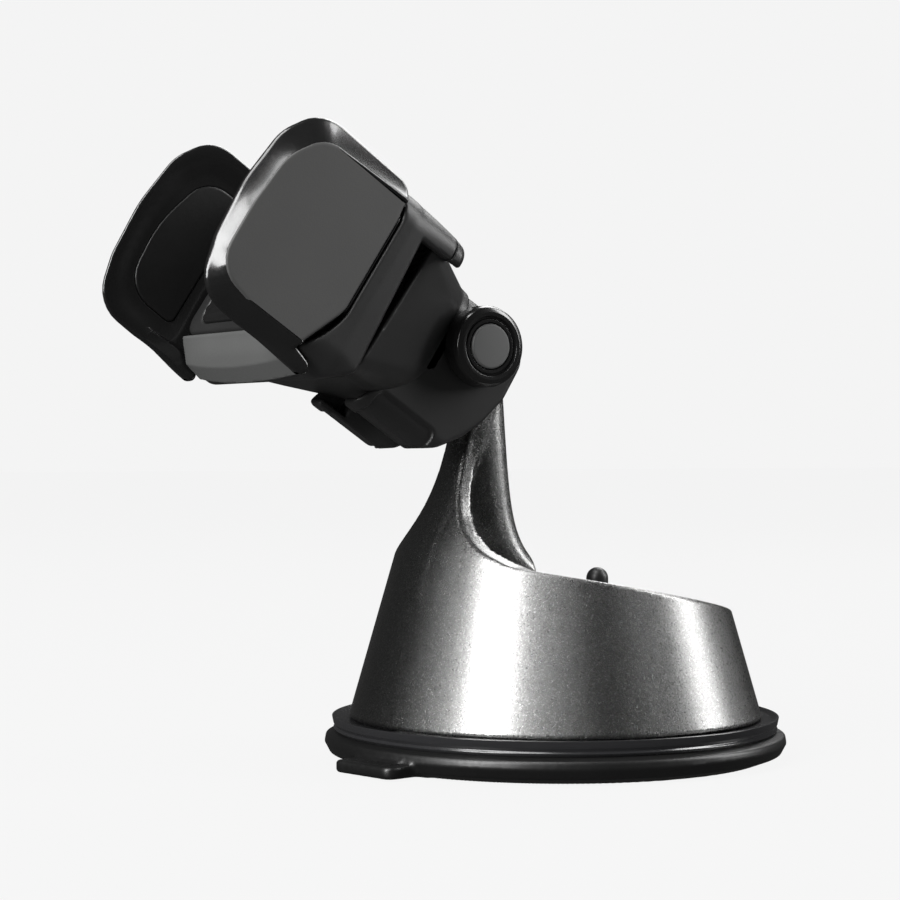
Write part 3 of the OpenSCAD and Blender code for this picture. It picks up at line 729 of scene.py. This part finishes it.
def plate_field(x, p, u):
    """Box between the arms whose front face the phone's back rests on."""
    low, high = -25.5, 11.4
    body = cut(block(x, u - (low + high) / 2, PLATE_HALF, (high - low) / 2, 4.6), slab(p, 35.1, PLATE_P), 0.7)
    seat = np.maximum(block(x, u + 8.1, 18, 15, 4), 42.7 - p)
    body = cut(body, -seat, 0.15)
    hole = np.maximum(block(np.abs(x) - PLATE_HALF, p - 39.2, 4, 1.9, 0.3),
                      np.abs(u + 9.5 - 6.875 * np.sign(x)) - 2.925)
    inner = np.maximum(block(x, u - (low + high) / 2, PLATE_HALF - 2, (high - low) / 2 - 2, 3), p - 41.5)
    return np.maximum(np.maximum(body, -hole), -inner)


def plate_pad_field(x, p, u):
    """Soft pad with fine ribs, let into the front of the back plate."""
    ribs = 0.12 * np.cos(2 * math.pi * u / 2.4)
    return cut(block(x, u + 8.1, 17.9, 14.9, 3.9), slab(p, 42.75, PLATE_P + 0.1 + ribs), 0.25)


def chin_field(x, p, u):
    """Grey strip under the back plate, bowed down in the middle."""
    bow = 1 - np.clip(np.abs(x) / PLATE_HALF, 0, 1) ** 2
    v = u + 1.6 * bow * smooth_step(-u, 25.6, 30.5)
    side = outline(p, v, [(35.1, -25.7), (43.3, -25.7), (43.35, -26.2), (39.6, -30.3), (35.1, -31.1)])
    return cut(side / 1.1, np.abs(x) - (PLATE_HALF - 0.5), 0.25)


def knob_profile(base):
    """Turned knob: a soft outer edge and stepped rings round a sunk face."""
    return smooth_profile([
        (3.3, base, 0), (8.0, base, 0.3), (8.35, base + 0.5, 0.4), (8.3, base + 3.4, 0.6),
        (7.9, base + 4.5, 0.9), (6.9, base + 4.9, 0.4), (6.2, base + 4.85, 0.12),
        (6.0, base + 4.1, 0.12), (5.65, base + 4.1, 0.12),
        (5.55, base + 4.45, 0.1), (4.9, base + 4.45, 0.12), (4.75, base + 3.9, 0.1), (3.3, base + 3.9, 0),
    ])


def cap_profile(base):
    """Disc in the middle of a knob, with a small chamfer."""
    return smooth_profile([
        (0.02, base + 3.95, 0), (4.5, base + 3.95, 0.05), (4.55, base + 4.6, 0.05), (4.3, base + 4.86, 0.1),
        (4.0, base + 4.88, 0), (0.1, base + 4.9, 0), (0.02, base + 4.9, 0),
    ])


def turned_piece(name, profile, side, body, material, replaces):
    """A turned piece on the tilt axis, on the right (1) or left (-1) of the head."""
    points, quads = lathe(profile, 96)
    world = np.stack([side * points[:, 2], side * points[:, 0], points[:, 1]], 1) + tilt_centre
    return mesh_piece(name, world, quads, body, material, replaces)


def mirrored(field):
    return lambda x, p, u: field(-x, p, u)


def make_head():
    for side, word, turn in ((1, "right", lambda g: g), (-1, "left", mirrored)):
        body = "arm_" + word
        low, high = sorted((22.4 * side, 26.6 * side))
        head_piece("arm_skin_" + word, turn(arm_field), (low, 35, -31.8), (high, 67.8, 12.4), 0.36, body,
                   GLOSS, [body])
        head_piece("panel_skin_" + word, turn(panel_field), (low, 35.5, -27), (high, 63, 7.2), 0.36, body,
                   PANEL, ["panel_" + word])
        head_piece("pad_skin_" + word, turn(pad_field), (low, 45, -25), (high, 61, 5.5), 0.3, body,
                   RUBBER, ["pad_" + word])
    head_piece("shell_skin", shell_field, (-26.6, 21, -31.3), (26.6, 44, 12.4), 0.5, "head",
               SATIN, ["cradle_shell"])
    head_piece("hood_cap_skin", hood_cap_field, (-26.6, 17.5, 4.2), (26.6, 21.6, 12.2), 0.36, "head",
               SATIN, ["hood_cap"])
    head_piece("rear_skin", rear_field, (-21.5, 5.3, -25.6), (21.5, 27.6, 11.2), 0.5, "head",
               SATIN, ["rear_housing"])
    head_piece("casing_skin", casing_field, (-11.6, -12.6, -25.5), (11.6, 17.8, 12.4), 0.4, "head",
               SATIN, ["knuckle_casing"])
    head_piece("plate_skin", plate_field, (-22.4, 35, -25.8), (22.4, 43.6, 11.5), 0.5, "head",
               SATIN, ["back_plate"])
    head_piece("plate_pad_skin", plate_pad_field, (-18, 42.6, -23.2), (18, 43.9, 7), 0.4, "head",
               RUBBER, ["plate_pad"])
    head_piece("chin_skin", chin_field, (-22, 35, -33), (22, 43.6, -25.5), 0.4, "head", TRIM,
               ["chin_trim"])
    base = CHEEK_HALF + KNOB_GAP
    turned_piece("knob_skin", knob_profile(base), 1, "knob", GLOSS, ["tilt_knob"])
    turned_piece("knob_cap_skin", cap_profile(base), 1, "knob", CAP, ["knob_cap"])
    turned_piece("nut_cover_skin", knob_profile(base), -1, "head", GLOSS, ["nut_cover"])
    turned_piece("nut_cap_skin", cap_profile(base), -1, "head", CAP, ["nut_cap"])


# ---- Camera, light and stage ----

def make_camera():
    """Level camera with a long lens, 32.5 degrees round from the right side towards the front."""
    turn = math.radians(32.5)
    distance = 0.4924
    aside = 0.02257
    toward = Vector((math.cos(turn), -math.sin(turn), 0))
    right = Vector((math.sin(turn), math.cos(turn), 0))
    data = bpy.data.cameras.new("camera")
    data.lens = 91.2
    data.sensor_width = 36
    data.clip_start = 0.01
    camera = bpy.data.objects.new("camera", data)
    camera.location = toward * distance - right * aside + Vector((0, 0, 0.0656))
    camera.rotation_euler = (math.pi / 2, 0, math.pi / 2 - turn)
    bpy.context.scene.collection.objects.link(camera)
    bpy.context.scene.camera = camera
    return toward, right


def softbox(name, direction, distance, size, power, target=Vector((0, -0.03, 0.06)), tone=(1, 1, 1)):
    data = bpy.data.lights.new(name, "AREA")
    data.shape = "RECTANGLE"
    data.size, data.size_y = size
    data.energy = power
    data.color = tone
    light = bpy.data.objects.new(name, data)
    light.location = target + direction.normalized() * distance
    light.rotation_euler = (-direction).to_track_quat("-Z", "Y").to_euler()
    bpy.context.scene.collection.objects.link(light)
    return light


def make_stage(toward, right):
    up = Vector((0, 0, 1))
    softbox("left_box", toward * 0.755 - right * 0.656 + up * 0.5, 1.1, (0.42, 0.95), 23)
    softbox("right_box", -toward * 0.09 + right * 1.0 + up * 0.5, 1.1, (0.28, 0.9), 10)
    softbox("back_box", -toward * 0.75 + right * 0.35 + up * 0.75, 1.2, (0.7, 0.5), 8)
    softbox("top_box", up * 1.0 - right * 0.3 + toward * 0.25, 1.1, (0.6, 0.6), 10)
    mesh = bpy.data.meshes.new("floor")
    size = 6.0
    corners = [(-size, -size, 0), (size, -size, 0), (size, size, 0), (-size, size, 0)]
    mesh.from_pydata(corners, [], [(0, 1, 2, 3)])
    floor = bpy.data.objects.new("floor", mesh)
    bpy.context.scene.collection.objects.link(floor)
    material, _, shader = new_material("floor_pale")
    shader.inputs["Base Color"].default_value = (0.012, 0.012, 0.012, 1)
    shader.inputs["Roughness"].default_value = 0.9
    shader.inputs["Emission Color"].default_value = (1, 1, 1, 1)
    shader.inputs["Specular IOR Level"].default_value = 0.0
    shader.inputs["Emission Strength"].default_value = 0.896
    mesh.materials.append(material)
    floor.visible_glossy = False
    world = bpy.data.worlds.new("studio")
    world.use_nodes = True
    nodes, links = world.node_tree.nodes, world.node_tree.links
    background = nodes["Background"]
    background.inputs["Color"].default_value = (0.04, 0.04, 0.04, 1)
    seen = nodes.new("ShaderNodeBackground")
    seen.inputs["Color"].default_value = (0.905, 0.905, 0.905, 1)
    path = nodes.new("ShaderNodeLightPath")
    mix = nodes.new("ShaderNodeMixShader")
    links.new(path.outputs["Is Camera Ray"], mix.inputs[0])
    links.new(background.outputs[0], mix.inputs[1])
    links.new(seen.outputs[0], mix.inputs[2])
    links.new(mix.outputs[0], nodes["World Output"].inputs["Surface"])
    bpy.context.scene.world = world
    bpy.context.scene.view_settings.view_transform = "Standard"


CAD_LOOKS = {
    "steel": STEEL, "black_plastic": SATIN, "gloss_black": GLOSS, "panel_grey": PANEL, "cap_grey": CAP,
    "trim_grey": TRIM, "pad_rubber": RUBBER, "cup_rubber": CUP, "ring_gloss": RING, "housing_metallic": PAINT,
    "white_plastic": WHITE,
}


def dress_cad():
    """Gives each CAD node that stays in view its procedural material."""
    for part in frame["record"]["subparts"]:
        slots = frame["nodes"][part["node"]].data.materials
        for i in range(len(slots)):
            slots[i] = CAD_LOOKS[part["material_slot"]]


toward_camera, camera_right = make_camera()
make_stage(toward_camera, camera_right)
dress_cad()
make_base()
make_head()
